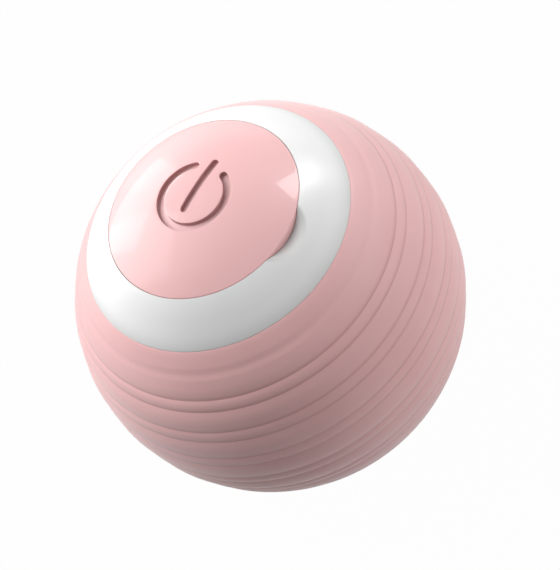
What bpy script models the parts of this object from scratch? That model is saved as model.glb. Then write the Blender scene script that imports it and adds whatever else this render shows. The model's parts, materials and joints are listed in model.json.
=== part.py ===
"""A self rolling ball for cats, on its roll axis: a ribbed sleeve on two shell halves, with a drive inside.

Metres, +Z up along the roll axis. The origin is the middle of the small flat that the ball stands on. Every
height below is measured from the middle of the ball, which an empty carries.
"""

import math

import bmesh
import bpy

for old in list(bpy.data.objects):
    bpy.data.objects.remove(old, do_unlink=True)

# Outer form
BALL_RADIUS = 0.0215
SLEEVE_THICKNESS = 0.00175
SLEEVE_ANGLE = 46.8
RIB_SPACING = 12.0
NARROW_RIBS_EACH_SIDE = 2
NARROW_RIB_HALF_ANGLE = 2.2
NARROW_RIB_DROP = 0.00005
CREASE_DEPTH = 0.00016
SHOULDER_ANGLE = 52.8
SHOULDER_HALF_ANGLE = 2.2
SHOULDER_DIP = 0.00006
SLEEVE_EDGE_ROUND = 0.00022
SLEEVE_EDGE_ANGLE = 0.35
EDGE_ROUND = 0.00015
EDGE_ROUND_ANGLE = 0.5

# Shell halves
SHELL_WALL = 0.0014
LEDGE_THICKNESS = 0.0015
CAP_WELL_DEPTH = 0.00195
LAP_DEPTH = 0.0016
LAP_SHARE = 0.5
SPLIT_GAP = 0.0002
BOSS_RADIUS = 0.003
SCOOP_RADIUS = 0.0078
SCOOP_DEPTH = 0.00088
SCOOP_INSET = 0.0002

# Discs on the two poles
DISC_RADIUS = 0.01125
DISC_PROUD = 0.0002
DISC_WALL = 0.0014
DISC_RIM_DEPTH = 0.0009
DISC_RIM_WIDTH = 0.00135
REST_FLAT_RADIUS = 0.0045
STEM_RADIUS = 0.0015
STEM_CLEARANCE = 0.0002
SYMBOL_RADIUS = 0.00395
SYMBOL_WIDTH = 0.00093
SYMBOL_DEPTH = 0.00058
SYMBOL_GAP_ANGLE = 29.8
SYMBOL_BAR_TOP = 0.00496
SYMBOL_BAR_LOW = 0.0018

# Cap plug and its return spring
PLUG_BASE = 0.0006
PLUG_GUIDE_WALL = 0.00085
PLUG_GUIDE_HEIGHT = 0.0007
SPRING_RADIUS = 0.0034
SPRING_WIRE = 0.00022
SPRING_TURNS = 3
SPRING_TOP_GAP = 0.0008

# Fits
SEAT_GAP = 0.00015
RUNNING_GAP = 0.0003
OVERRUN = 0.001

# Carriage that hangs inside
BUSH_WALL = 0.00075
TUBE_WALL = 0.0008
FACE_SINK = 0.0005
FACE_THICKNESS = 0.0007
FLANGE_REACH = 0.0017
FLANGE_THICKNESS = 0.0008
BOARD_THICKNESS = 0.001
BOARD_MARGIN = 0.0006
EAR_WIDTH = 0.003
EAR_THICKNESS = 0.0012
POST_RADIUS = 0.0013
POST_ANGLES = (0.0, 180.0, 270.0)
PLATE_SPACE = 0.0021
PLATE_THICKNESS = 0.0012
PLATE_GAP = 0.0012
HUB_RADIUS = 0.0034
HUB_GAP = 0.0006
SCREW_HEAD_RADIUS = 0.0011
SCREW_HEAD_HEIGHT = 0.00075
SCREW_SHANK_RADIUS = 0.0005
SCREW_SLOT_WIDTH = 0.0003
SCREW_SLOT_DEPTH = 0.0003
SCREW_LENGTH = 0.0068
SCREW_CLEARANCE = 0.00015

# Charging socket, switch and small parts on the board
SOCKET_WIDTH = 0.00894
SOCKET_HEIGHT = 0.00326
SOCKET_WALL = 0.0003
SOCKET_FLOOR = 0.0008
SOCKET_LENGTH = 0.0066
SOCKET_SPACE = 0.00052
SOCKET_MARGIN = 0.00088
SOCKET_SINK = 0.0001
TONGUE_WIDTH = 0.0067
TONGUE_THICKNESS = 0.0007
TONGUE_LENGTH = 0.0046
SWITCH_SIDE = 0.0045
SWITCH_HEIGHT = 0.0035
SWITCH_BORE_DEPTH = 0.00115
BUTTON_RADIUS = 0.00125
BUTTON_IN_CASE = 0.0006
BUTTON_PROUD = 0.00035
CHIP_SIDE = 0.0034
CHIP_HEIGHT = 0.001
CHIP_MARGIN = 0.00085
CHIP_ANGLE = 45.0
LED_LENGTH = 0.0016
LED_WIDTH = 0.0008
LED_HEIGHT = 0.0006
LED_REACH = 0.0048

# Motor, cell and weight
MOTOR_RADIUS = 0.0049
MOTOR_HEADROOM = 0.00075
MOTOR_CAP_STEP = 0.0003
MOTOR_CAP_HEIGHT = 0.00145
MOTOR_BOSS_RADIUS = 0.0019
MOTOR_BOSS_HEIGHT = 0.0008
MOTOR_SHAFT_RADIUS = 0.0005
CRADLE_WALL = 0.0007
CRADLE_HEIGHT = 0.0028
TAB_WIDTH = 0.0012
TAB_THICKNESS = 0.0004
TAB_PROUD = 0.0006
MOTOR_TAB_INSET = 0.002
CELL_WIDTH = 0.017
CELL_DEPTH = 0.0056
CELL_HEADROOM = 0.0012
CELL_ROUND = 0.0006
CELL_TAB_INSET = 0.003
CELL_TAB_STEP = 0.0012
CELL_WALL = 0.0007
CELL_WALL_HEIGHT = 0.0024
TRAY_GAP = 0.00005
WEIGHT_CLEARANCE = 0.00045
WEIGHT_GAP = 0.00145
WEIGHT_HEIGHT = 0.006
WEIGHT_HALF_ANGLE = 45.0
WEIGHT_SCREW_LENGTH = 0.005

# Gears
GEAR_MODULE = 0.0004
GEAR_BACKLASH = 0.0001
SUN_TEETH = 24
SMALL_TEETH = 12
BIG_TEETH = 24
PINION_TEETH = 10
PRESSURE_ANGLE = 20.0
TIP_SHARE = 0.8
ROOT_SHARE = 1.3
UNDERCUT_SHARE = 0.72
SUN_WIDTH = 0.002
BIG_WIDTH = 0.0018
GEAR_SPACE = 0.0005
BOSS_HEIGHT = 0.00115
AXLE_RADIUS = 0.0015
AXLE_SINK = 0.0008
GEAR_PIN_RADIUS = 0.0007
GEAR_HUB_RADIUS = 0.0014
MOTOR_ANGLE = 123.8

# Steps round a circle
BALL_STEPS = 40
HOUSING_STEPS = 32
SMALL_STEPS = 20
TINY_STEPS = 10
SYMBOL_STEPS = 20

dome_radius = BALL_RADIUS + DISC_PROUD
sleeve_inner = BALL_RADIUS - SLEEVE_THICKNESS
seat_radius = sleeve_inner - SEAT_GAP
shell_inner = seat_radius - SHELL_WALL


def height_at(radius, reach):
    """Height on a sphere about the middle of the ball, at this reach from the axis."""
    return math.sqrt(radius * radius - reach * reach)


def reach_at(radius, height):
    """Reach of such a sphere from the axis, at this height."""
    return math.sqrt(radius * radius - height * height)


def polar_of(radius, reach):
    return math.degrees(math.asin(reach / radius))


def polar_at(radius, height):
    return math.degrees(math.acos(height / radius))


def on_sphere(radius, polar):
    """Reach and height of a point on a sphere, by its angle in degrees from the upper pole."""
    return radius * math.sin(math.radians(polar)), radius * math.cos(math.radians(polar))


def around(reach, angle):
    return reach * math.cos(math.radians(angle)), reach * math.sin(math.radians(angle))


disc_edge = height_at(dome_radius, DISC_RADIUS)
rim_low = disc_edge - DISC_RIM_DEPTH
well_floor = rim_low - CAP_WELL_DEPTH
ledge_low = well_floor - LEDGE_THICKNESS
well_radius = DISC_RADIUS + SEAT_GAP
rest_height = height_at(dome_radius, REST_FLAT_RADIUS)

face_high = well_floor - FACE_SINK
face_low = face_high - FACE_THICKNESS

# The tube holds the socket, and the window in the shell holds the tube and its bush
socket_offset = SWITCH_SIDE / 2 + SOCKET_SPACE + SOCKET_HEIGHT / 2
socket_reach = math.hypot(SOCKET_WIDTH / 2 - SOCKET_HEIGHT / 2, socket_offset) + SOCKET_HEIGHT / 2
tube_inner = socket_reach + SOCKET_MARGIN
tube_outer = tube_inner + TUBE_WALL
window_radius = tube_outer + SEAT_GAP + BUSH_WALL + SEAT_GAP

flange_high = ledge_low - RUNNING_GAP
socket_high = face_high - SOCKET_SINK
parts_low = socket_high - SOCKET_LENGTH
board_high = parts_low - SEAT_GAP
board_low = board_high - BOARD_THICKNESS
sun_low = BOSS_HEIGHT + SEAT_GAP - ledge_low
sun_high = sun_low + SUN_WIDTH
big_low = sun_high + GEAR_SPACE
big_high = big_low + BIG_WIDTH
hub_low = big_high + HUB_GAP
plate_low = big_high + PLATE_SPACE
plate_high = plate_low + PLATE_THICKNESS
plate_radius = reach_at(shell_inner, plate_low) - PLATE_GAP

# The motor and the cell stand on the plate and fill the height up to the board
motor_low = plate_high + SEAT_GAP
cap_high = board_low - MOTOR_HEADROOM
cap_low = cap_high - MOTOR_CAP_HEIGHT
motor_high = cap_low - SEAT_GAP
cell_high = board_low - CELL_HEADROOM
compound_reach = (SUN_TEETH + SMALL_TEETH) * GEAR_MODULE / 2
motor_spacing = (BIG_TEETH + PINION_TEETH) * GEAR_MODULE / 2
motor_x = compound_reach + around(motor_spacing, MOTOR_ANGLE)[0]
motor_y = around(motor_spacing, MOTOR_ANGLE)[1]

# The cell's tray lies against the hub, and the posts stand just outside it
tray_half = SEAT_GAP + CELL_DEPTH / 2 + CELL_WALL
cell_offset = HUB_RADIUS + TRAY_GAP + tray_half
post_reach = cell_offset + tray_half + TRAY_GAP + POST_RADIUS
ear_reach = post_reach + POST_RADIUS
board_radius = ear_reach + BOARD_MARGIN

middle = bpy.data.objects.new("ball_middle", None)
middle.location = (0.0, 0.0, rest_height)
bpy.context.scene.collection.objects.link(middle)


def material(name, colour, roughness, metallic=0.0):
    made = bpy.data.materials.new(name)
    made.use_nodes = True
    shader = made.node_tree.nodes["Principled BSDF"]
    shader.inputs["Base Color"].default_value = (*colour, 1.0)
    shader.inputs["Roughness"].default_value = roughness
    shader.inputs["Metallic"].default_value = metallic
    made.diffuse_color = (*colour, 1.0)
    return made


def finish(name, mesh, x, y, turn, look, smooth=True):
    mesh.normal_update()
    bmesh.ops.recalc_face_normals(mesh, faces=mesh.faces)
    data = bpy.data.meshes.new(name)
    mesh.to_mesh(data)
    mesh.free()
    for face in data.polygons:
        face.use_smooth = smooth and len(face.vertices) < 5
    made = bpy.data.objects.new(name, data)
    made.parent = middle
    made.location = (x, y, 0.0)
    made.rotation_euler = (0.0, 0.0, math.radians(turn))
    bpy.context.scene.collection.objects.link(made)
    if look is None:
        made.hide_render = True
        made.display_type = "WIRE"
    else:
        data.materials.append(look)
    return made


def revolve(name, profile, look, steps=BALL_STEPS, x=0.0, y=0.0, turn=0.0):
    """A solid turned from a profile of (reach, height) points. It closes on itself unless it ends on the axis."""
    mesh = bmesh.new()
    rings = []
    for reach, height in profile:
        if reach == 0:
            rings.append([mesh.verts.new((0.0, 0.0, height))])
            continue
        ring = []
        for step in range(steps):
            angle = 2 * math.pi * step / steps
            ring.append(mesh.verts.new((reach * math.cos(angle), reach * math.sin(angle), height)))
        rings.append(ring)
    on_axis = profile[0][0] == 0
    pairs = zip(rings, rings[1:]) if on_axis else zip(rings, rings[1:] + rings[:1])
    for first, second in pairs:
        for step in range(steps):
            after = (step + 1) % steps
            corners = [first[step % len(first)], first[after % len(first)]]
            corners += [second[after % len(second)], second[step % len(second)]]
            face = []
            for corner in corners:
                if corner not in face:
                    face.append(corner)
            if len(face) > 2:
                mesh.faces.new(face)
    return finish(name, mesh, x, y, turn, look)


def prism(name, outline, low, high, look, x=0.0, y=0.0, turn=0.0, smooth=False):
    """An outline of (x, y) points raised from one height to another."""
    mesh = bmesh.new()
    lower = [mesh.verts.new((px, py, low)) for px, py in outline]
    upper = [mesh.verts.new((px, py, high)) for px, py in outline]
    mesh.faces.new(list(reversed(lower)))
    mesh.faces.new(upper)
    for i in range(len(outline)):
        j = (i + 1) % len(outline)
        mesh.faces.new((lower[i], lower[j], upper[j], upper[i]))
    return finish(name, mesh, x, y, turn, look, smooth)


def rod(name, radius, low, high, look, x=0.0, y=0.0, steps=SMALL_STEPS):
    outline = [around(radius, 360 * (step + 0.5) / steps) for step in range(steps)]
    return prism(name, outline, low, high, look, x, y, smooth=True)


def tube(name, inner, outer, low, high, look, x=0.0, y=0.0, steps=SMALL_STEPS):
    profile = [(inner, low), (outer, low), (outer, high), (inner, high)]
    return revolve(name, profile, look, steps, x, y)


def box_outline(width, depth):
    return [
        (-width / 2, -depth / 2),
        (width / 2, -depth / 2),
        (width / 2, depth / 2),
        (-width / 2, depth / 2),
    ]


def slot_outline(width, height, steps=6):
    """A flat oval: a rectangle with two round ends."""
    radius = height / 2
    points = []
    for side, start in ((1, -90), (-1, 90)):
        for step in range(steps + 1):
            px, py = around(radius, start + 180 * step / steps)
            points.append((side * (width / 2 - radius) + px, py))
    return points


def boolean(target, other, operation="DIFFERENCE"):
    added = target.modifiers.new(other.name, "BOOLEAN")
    added.operation = operation
    added.object = other
    if not other.hide_render:
        other.hide_render = True
        other.display_type = "WIRE"
    return target


def join(target, *others):
    for other in others:
        boolean(target, other, "UNION")
    return target


def cut(target, *others):
    for other in others:
        boolean(target, other)
    return target


pink_rubber = material("pink_rubber", (0.92, 0.54, 0.54), 0.42)
pink_plastic = material("pink_plastic", (0.92, 0.54, 0.54), 0.36)
white_plastic = material("white_plastic", (0.8, 0.8, 0.8), 0.34)
grey_plastic = material("grey_plastic", (0.28, 0.29, 0.3), 0.5)
gear_plastic = material("gear_plastic", (0.83, 0.82, 0.76), 0.38)
black_plastic = material("black_plastic", (0.02, 0.02, 0.022), 0.45)
board_green = material("board_green", (0.02, 0.16, 0.07), 0.4)
bright_steel = material("bright_steel", (0.62, 0.62, 0.63), 0.25, 1.0)
brass = material("brass", (0.72, 0.5, 0.2), 0.3, 1.0)
cell_foil = material("cell_foil", (0.55, 0.56, 0.58), 0.3, 0.6)


def rib_depth(away):
    """How far the tread lies in from the ball, so many degrees from a narrow rib's middle."""
    if away <= NARROW_RIB_HALF_ANGLE:
        share = away / NARROW_RIB_HALF_ANGLE
        return NARROW_RIB_DROP + (CREASE_DEPTH - NARROW_RIB_DROP) * share**2
    share = (RIB_SPACING / 2 - away) / (RIB_SPACING / 2 - NARROW_RIB_HALF_ANGLE)
    return CREASE_DEPTH * share**2


def tread_points():
    """(angle, depth) down the outer side of the sleeve, from its upper edge to its lower one."""
    half = [
        (SLEEVE_ANGLE + SLEEVE_EDGE_ANGLE, SLEEVE_EDGE_ROUND),
        (SLEEVE_ANGLE + 2 * SLEEVE_EDGE_ANGLE, SLEEVE_EDGE_ROUND / 4),
        (SLEEVE_ANGLE + 4 * SLEEVE_EDGE_ANGLE, 0),
        (SHOULDER_ANGLE - SHOULDER_HALF_ANGLE, 0),
        (SHOULDER_ANGLE, SHOULDER_DIP),
        (SHOULDER_ANGLE + SHOULDER_HALF_ANGLE, 0),
    ]
    ribs = []
    between = (NARROW_RIB_HALF_ANGLE + RIB_SPACING / 2) / 2
    reaches = (0, NARROW_RIB_HALF_ANGLE / 2, NARROW_RIB_HALF_ANGLE, between, RIB_SPACING / 2)
    offsets = sorted({side * reach for side in (-1, 1) for reach in reaches})
    for index in range(-NARROW_RIBS_EACH_SIDE, NARROW_RIBS_EACH_SIDE + 1):
        for offset in offsets:
            if index == -NARROW_RIBS_EACH_SIDE or offset > offsets[0]:
                angle = 90 + index * RIB_SPACING + offset
                ribs.append((angle, rib_depth(abs(offset))))
    return half + ribs + [(180 - angle, depth) for angle, depth in reversed(half)]


def sleeve_profile():
    points = [on_sphere(BALL_RADIUS - depth, angle) for angle, depth in tread_points()]
    start = SLEEVE_ANGLE + SLEEVE_EDGE_ANGLE
    for step in range(8):
        points.append(on_sphere(sleeve_inner, 180 - start - (180 - 2 * start) * step / 7))
    return points


tread_sleeve = revolve("tread_sleeve", sleeve_profile(), pink_rubber)


def arc_points(radius, first, last, count):
    return [on_sphere(radius, first + (last - first) * i / count) for i in range(count + 1)]


def pole_outside():
    """The bare pole of a shell half from its well to the edge of the sleeve, then the seat to the split."""
    lip = well_radius + EDGE_ROUND
    points = [(well_radius, height_at(BALL_RADIUS, well_radius) - EDGE_ROUND)]
    points += arc_points(BALL_RADIUS, polar_of(BALL_RADIUS, lip), SLEEVE_ANGLE - EDGE_ROUND_ANGLE, 3)
    points.append(on_sphere(BALL_RADIUS - EDGE_ROUND, SLEEVE_ANGLE))
    points += arc_points(seat_radius, SLEEVE_ANGLE, 80, 3)
    return points


lap_radius = shell_inner + (seat_radius - shell_inner) * LAP_SHARE


def upper_profile():
    points = [(window_radius, well_floor), (well_radius, well_floor)]
    points += pole_outside()
    points += [(seat_radius, SPLIT_GAP / 2), (lap_radius - SEAT_GAP / 2, SPLIT_GAP / 2)]
    points += [(lap_radius - SEAT_GAP / 2, -LAP_DEPTH), (shell_inner, -LAP_DEPTH)]
    points += arc_points(shell_inner, 90, polar_at(shell_inner, ledge_low), 5)
    points.append((window_radius, ledge_low))
    return points


def lower_profile():
    """Runs from the axis outside the well floor, round the seat, back to the axis inside."""
    points = [(0, -well_floor), (well_radius, -well_floor)]
    points += [(reach, -height) for reach, height in pole_outside()]
    points += [(seat_radius, -SPLIT_GAP / 2), (lap_radius + SEAT_GAP / 2, -SPLIT_GAP / 2)]
    pocket = LAP_DEPTH + SPLIT_GAP
    points.append((lap_radius + SEAT_GAP / 2, -pocket))
    start = 180 - polar_at(shell_inner, pocket)
    stop = 180 - polar_at(shell_inner, ledge_low)
    points += arc_points(shell_inner, start, stop, 5)
    boss_high = BOSS_HEIGHT - ledge_low
    hole = AXLE_RADIUS + SEAT_GAP / 2
    hole_low = -ledge_low - AXLE_SINK - SEAT_GAP
    points += [(BOSS_RADIUS, -ledge_low), (BOSS_RADIUS, boss_high), (hole, boss_high)]
    points += [(hole, hole_low), (0, hole_low)]
    return points


upper_shell = revolve("upper_shell", upper_profile(), white_plastic)
lower_shell = revolve("lower_shell", lower_profile(), white_plastic)

scoop_centre = BALL_RADIUS + SCOOP_RADIUS - SCOOP_DEPTH
scoop_angle = polar_of(BALL_RADIUS, DISC_RADIUS - SCOOP_INSET)
scoop_profile = [(0, SCOOP_RADIUS)]
scoop_profile += arc_points(SCOOP_RADIUS, 9, 171, 18)
scoop_profile += [(0, -SCOOP_RADIUS)]
scoop = revolve("finger_scoop", scoop_profile, None)
scoop.location = (
    scoop_centre * math.sin(math.radians(scoop_angle)),
    0.0,
    scoop_centre * math.cos(math.radians(scoop_angle)),
)
scoop.rotation_euler = (0.0, math.radians(scoop_angle), 0.0)
cut(upper_shell, scoop)


def dome_outside(first_reach, count):
    """The dome from this reach to its rounded edge, then down the rim."""
    last = polar_of(dome_radius, DISC_RADIUS - EDGE_ROUND)
    points = arc_points(dome_radius, polar_of(dome_radius, first_reach), last, count)
    points.append((DISC_RADIUS, disc_edge - EDGE_ROUND))
    points.append((DISC_RADIUS, rim_low))
    return points


dome_inner = dome_radius - DISC_WALL
rim_inner = DISC_RADIUS - DISC_RIM_WIDTH
stem_low = well_floor + SEAT_GAP / 3

power_profile = [(0, dome_radius)] + dome_outside(DISC_RADIUS / 6, 5)
power_profile += [(rim_inner, rim_low)]
power_profile += arc_points(dome_inner, polar_of(dome_inner, rim_inner), polar_of(dome_inner, STEM_RADIUS), 4)
power_profile += [(STEM_RADIUS, stem_low), (0, stem_low)]
power_disc = revolve("power_disc", power_profile, pink_plastic)


def symbol_arc():
    """The open ring of the power sign, gap towards +Y, with rounded ends."""
    points = []
    turn = 360 - 2 * SYMBOL_GAP_ANGLE
    start = 90 + SYMBOL_GAP_ANGLE
    outer = SYMBOL_RADIUS + SYMBOL_WIDTH / 2
    inner = SYMBOL_RADIUS - SYMBOL_WIDTH / 2
    for step in range(SYMBOL_STEPS + 1):
        points.append(around(outer, start + turn * step / SYMBOL_STEPS))
    points += round_end(start + turn, 0)
    for step in range(SYMBOL_STEPS + 1):
        points.append(around(inner, start + turn - turn * step / SYMBOL_STEPS))
    points += round_end(start, 180)
    return points


def round_end(angle, heading):
    """Points on the half circle that closes the ring at this angle."""
    cx, cy = around(SYMBOL_RADIUS, angle)
    points = []
    for step in range(1, 5):
        px, py = around(SYMBOL_WIDTH / 2, angle + heading + 180 * step / 5)
        points.append((cx + px, cy + py))
    return points


symbol_low = dome_inner
symbol_high = dome_radius + OVERRUN
symbol_cutter = prism("symbol_arc", symbol_arc(), symbol_low, symbol_high, None)
bar_length = SYMBOL_BAR_TOP + SYMBOL_BAR_LOW + SYMBOL_WIDTH / 2
bar_cutter = prism(
    "symbol_bar",
    slot_outline(bar_length, SYMBOL_WIDTH),
    symbol_low,
    symbol_high,
    None,
    0.0,
    (SYMBOL_BAR_TOP - SYMBOL_BAR_LOW) / 2,
    90.0,
)
floor_radius = dome_radius - SYMBOL_DEPTH
floor_reach = SYMBOL_BAR_TOP + OVERRUN
floor_profile = [(0, floor_radius)]
floor_profile += arc_points(floor_radius, 3, polar_of(floor_radius, floor_reach), 5)
floor_profile += [(floor_reach, symbol_low - OVERRUN), (0, symbol_low - OVERRUN)]
symbol_floor = revolve("symbol_floor", floor_profile, None)
cut(symbol_cutter, symbol_floor)
cut(bar_cutter, symbol_floor)
cut(power_disc, symbol_cutter, bar_cutter)

lower_disc_profile = [(0, -rest_height)] + [(r, -h) for r, h in dome_outside(REST_FLAT_RADIUS, 5)]
skirt_low = -(well_floor + SEAT_GAP)
lower_disc_profile[-1] = (DISC_RADIUS, skirt_low)
lower_disc_profile += [(rim_inner, skirt_low)]
inner_arc = arc_points(dome_inner, polar_of(dome_inner, rim_inner), 8, 4)
lower_disc_profile += [(r, -h) for r, h in inner_arc]
lower_disc_profile += [(0, -dome_inner)]
lower_disc = revolve("lower_disc", lower_disc_profile, pink_plastic)

plug_low = well_floor + SEAT_GAP
plug_high = plug_low + PLUG_BASE
guide_inner = STEM_RADIUS + STEM_CLEARANCE
guide_outer = guide_inner + PLUG_GUIDE_WALL
cap_plug = revolve(
    "cap_plug",
    [
        (guide_inner, plug_low),
        (DISC_RADIUS, plug_low),
        (DISC_RADIUS, plug_high),
        (guide_outer, plug_high),
        (guide_outer, plug_high + PLUG_GUIDE_HEIGHT),
        (guide_inner, plug_high + PLUG_GUIDE_HEIGHT),
    ],
    white_plastic,
)


def coil(name, radius, wire, low, high, turns, look, steps=14, sides=5):
    """A round wire wound up the axis, closed at both ends."""
    mesh = bmesh.new()
    rings = []
    total = turns * steps
    for step in range(total + 1):
        angle = 2 * math.pi * step / steps
        height = low + wire + (high - low - 2 * wire) * step / total
        ring = []
        for side in range(sides):
            tilt = 2 * math.pi * side / sides
            reach = radius + wire * math.cos(tilt)
            rise = height + wire * math.sin(tilt)
            ring.append(mesh.verts.new((reach * math.cos(angle), reach * math.sin(angle), rise)))
        rings.append(ring)
    for first, second in zip(rings, rings[1:]):
        for side in range(sides):
            after = (side + 1) % sides
            mesh.faces.new((first[side], first[after], second[after], second[side]))
    mesh.faces.new(rings[0])
    mesh.faces.new(rings[-1])
    return finish(name, mesh, 0.0, 0.0, 0.0, look)


cap_spring = coil(
    "cap_spring",
    SPRING_RADIUS,
    SPRING_WIRE,
    plug_high + SEAT_GAP,
    height_at(dome_inner, SPRING_RADIUS + SPRING_WIRE) - SPRING_TOP_GAP,
    SPRING_TURNS,
    bright_steel,
)

upper_bush = tube(
    "upper_bush",
    tube_outer + SEAT_GAP,
    window_radius - SEAT_GAP,
    ledge_low,
    well_floor - SEAT_GAP,
    gear_plastic,
    steps=HOUSING_STEPS,
)

port_housing = revolve(
    "port_housing",
    [
        (0, face_high),
        (tube_outer, face_high),
        (tube_outer, flange_high),
        (tube_outer + FLANGE_REACH, flange_high),
        (tube_outer + FLANGE_REACH, flange_high - FLANGE_THICKNESS),
        (tube_outer, flange_high - FLANGE_THICKNESS),
        (tube_outer, parts_low),
        (tube_inner, parts_low),
        (tube_inner, face_low),
        (0, face_low),
    ],
    white_plastic,
    HOUSING_STEPS,
)
ear_length = ear_reach - tube_inner - TUBE_WALL / 2
for index, angle in enumerate(POST_ANGLES):
    ear_x, ear_y = around(tube_inner + TUBE_WALL / 2 + ear_length / 2, angle)
    ear = prism(
        "ear_%d" % (index + 1),
        box_outline(ear_length, EAR_WIDTH),
        parts_low,
        parts_low + EAR_THICKNESS,
        white_plastic,
        ear_x,
        ear_y,
        angle,
    )
    join(port_housing, ear)
socket_cut = prism(
    "socket_cut",
    slot_outline(SOCKET_WIDTH + 2 * SEAT_GAP, SOCKET_HEIGHT + 2 * SEAT_GAP),
    face_low - OVERRUN,
    face_high + OVERRUN,
    None,
    0.0,
    -socket_offset,
)
button_cut = rod(
    "button_cut", BUTTON_RADIUS + STEM_CLEARANCE, face_low - OVERRUN, face_high + OVERRUN, None
)
cut(port_housing, socket_cut, button_cut)

circuit_board = rod("circuit_board", board_radius, board_low, board_high, board_green, steps=HOUSING_STEPS)

usb_socket = prism(
    "usb_socket",
    slot_outline(SOCKET_WIDTH, SOCKET_HEIGHT),
    parts_low,
    socket_high,
    bright_steel,
    0.0,
    -socket_offset,
)
socket_hollow = prism(
    "socket_hollow",
    slot_outline(SOCKET_WIDTH - 2 * SOCKET_WALL, SOCKET_HEIGHT - 2 * SOCKET_WALL),
    parts_low + SOCKET_FLOOR,
    socket_high + OVERRUN,
    None,
    0.0,
    -socket_offset,
)
cut(usb_socket, socket_hollow)
tongue_low = parts_low + SOCKET_FLOOR + SEAT_GAP
usb_tongue = prism(
    "usb_tongue",
    box_outline(TONGUE_WIDTH, TONGUE_THICKNESS),
    tongue_low,
    tongue_low + TONGUE_LENGTH,
    black_plastic,
    0.0,
    -socket_offset,
)

case_high = parts_low + SWITCH_HEIGHT
switch_case = prism(
    "switch_case", box_outline(SWITCH_SIDE, SWITCH_SIDE), parts_low, case_high, black_plastic
)
case_bore = rod(
    "case_bore",
    BUTTON_RADIUS + STEM_CLEARANCE,
    case_high - SWITCH_BORE_DEPTH,
    case_high + OVERRUN,
    None,
)
cut(switch_case, case_bore)
switch_button = rod(
    "switch_button",
    BUTTON_RADIUS,
    case_high - BUTTON_IN_CASE,
    face_high + BUTTON_PROUD,
    grey_plastic,
)

chip_x, chip_y = around(tube_outer + CHIP_MARGIN + CHIP_SIDE / 2, CHIP_ANGLE)
control_chip = prism(
    "control_chip",
    box_outline(CHIP_SIDE, CHIP_SIDE),
    parts_low,
    parts_low + CHIP_HEIGHT,
    black_plastic,
    chip_x,
    chip_y,
    CHIP_ANGLE,
)
charge_led = prism(
    "charge_led",
    box_outline(LED_LENGTH, LED_WIDTH),
    parts_low,
    parts_low + LED_HEIGHT,
    white_plastic,
    0.0,
    LED_REACH,
)

# Frame: a plate with three posts, a hub that turns on the axle, a cradle and a cell tray
axle_high = plate_high - SEAT_GAP
bush_inner = AXLE_RADIUS + SEAT_GAP
bush_outer = bush_inner + BUSH_WALL
carriage_frame = rod(
    "carriage_frame", plate_radius, plate_low, plate_high, grey_plastic, steps=BALL_STEPS
)
frame_hub = rod("frame_hub", HUB_RADIUS, hub_low, plate_high - PLATE_THICKNESS / 2, None)
join(carriage_frame, frame_hub)
post_high = board_low - SEAT_GAP
post_foot = plate_high - PLATE_THICKNESS / 2
shank_clear = SCREW_SHANK_RADIUS + SCREW_CLEARANCE
head_low = parts_low + EAR_THICKNESS + SEAT_GAP
shank_low = head_low - SCREW_LENGTH
for index, angle in enumerate(POST_ANGLES):
    post_x, post_y = around(post_reach, angle)
    post = rod("post_%d" % (index + 1), POST_RADIUS, post_foot, post_high, None, post_x, post_y, TINY_STEPS)
    join(carriage_frame, post)
cradle_inner = MOTOR_RADIUS + SEAT_GAP
cradle = tube(
    "motor_cradle",
    cradle_inner,
    cradle_inner + CRADLE_WALL,
    post_foot,
    plate_high + CRADLE_HEIGHT,
    None,
    motor_x,
    motor_y,
)
tray_width = CELL_WIDTH + 2 * SEAT_GAP
tray_depth = CELL_DEPTH + 2 * SEAT_GAP
tray = prism(
    "cell_tray",
    box_outline(tray_width + 2 * CELL_WALL, tray_depth + 2 * CELL_WALL),
    post_foot,
    plate_high + CELL_WALL_HEIGHT,
    None,
    0.0,
    -cell_offset,
)
join(carriage_frame, cradle, tray)
tray_hollow = prism(
    "tray_hollow",
    box_outline(tray_width, tray_depth),
    plate_high,
    plate_high + CELL_WALL_HEIGHT + OVERRUN,
    None,
    0.0,
    -cell_offset,
)
hub_bore = rod("hub_bore", bush_outer + SEAT_GAP, hub_low - OVERRUN, plate_high + OVERRUN, None)
boss_bore = rod(
    "boss_bore",
    MOTOR_BOSS_RADIUS + SEAT_GAP,
    plate_low - OVERRUN,
    plate_high + OVERRUN,
    None,
    motor_x,
    motor_y,
)
pin_bore = rod(
    "pin_bore",
    GEAR_PIN_RADIUS + SEAT_GAP,
    plate_low - OVERRUN,
    plate_high + OVERRUN,
    None,
    compound_reach,
    0.0,
    TINY_STEPS,
)
cut(carriage_frame, tray_hollow, hub_bore, boss_bore, pin_bore)


def screw(name, low, high, x, y, up=1):
    """A slotted screw. Its shank runs from low up to the seat at high, or down to it when up is -1."""
    seat = high if up == 1 else low
    tip = low if up == 1 else high
    top = seat + up * SCREW_HEAD_HEIGHT
    profile = [
        (0, tip),
        (SCREW_SHANK_RADIUS, tip),
        (SCREW_SHANK_RADIUS, seat),
        (SCREW_HEAD_RADIUS, seat),
        (SCREW_HEAD_RADIUS, top),
        (0, top),
    ]
    made = revolve(name, profile, bright_steel, TINY_STEPS, x, y)
    ends = sorted((top - up * SCREW_SLOT_DEPTH, top + up * OVERRUN))
    slot = prism(
        name + "_slot",
        box_outline(3 * SCREW_HEAD_RADIUS, SCREW_SLOT_WIDTH),
        ends[0],
        ends[1],
        None,
        x,
        y,
        30.0,
    )
    return cut(made, slot)


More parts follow.
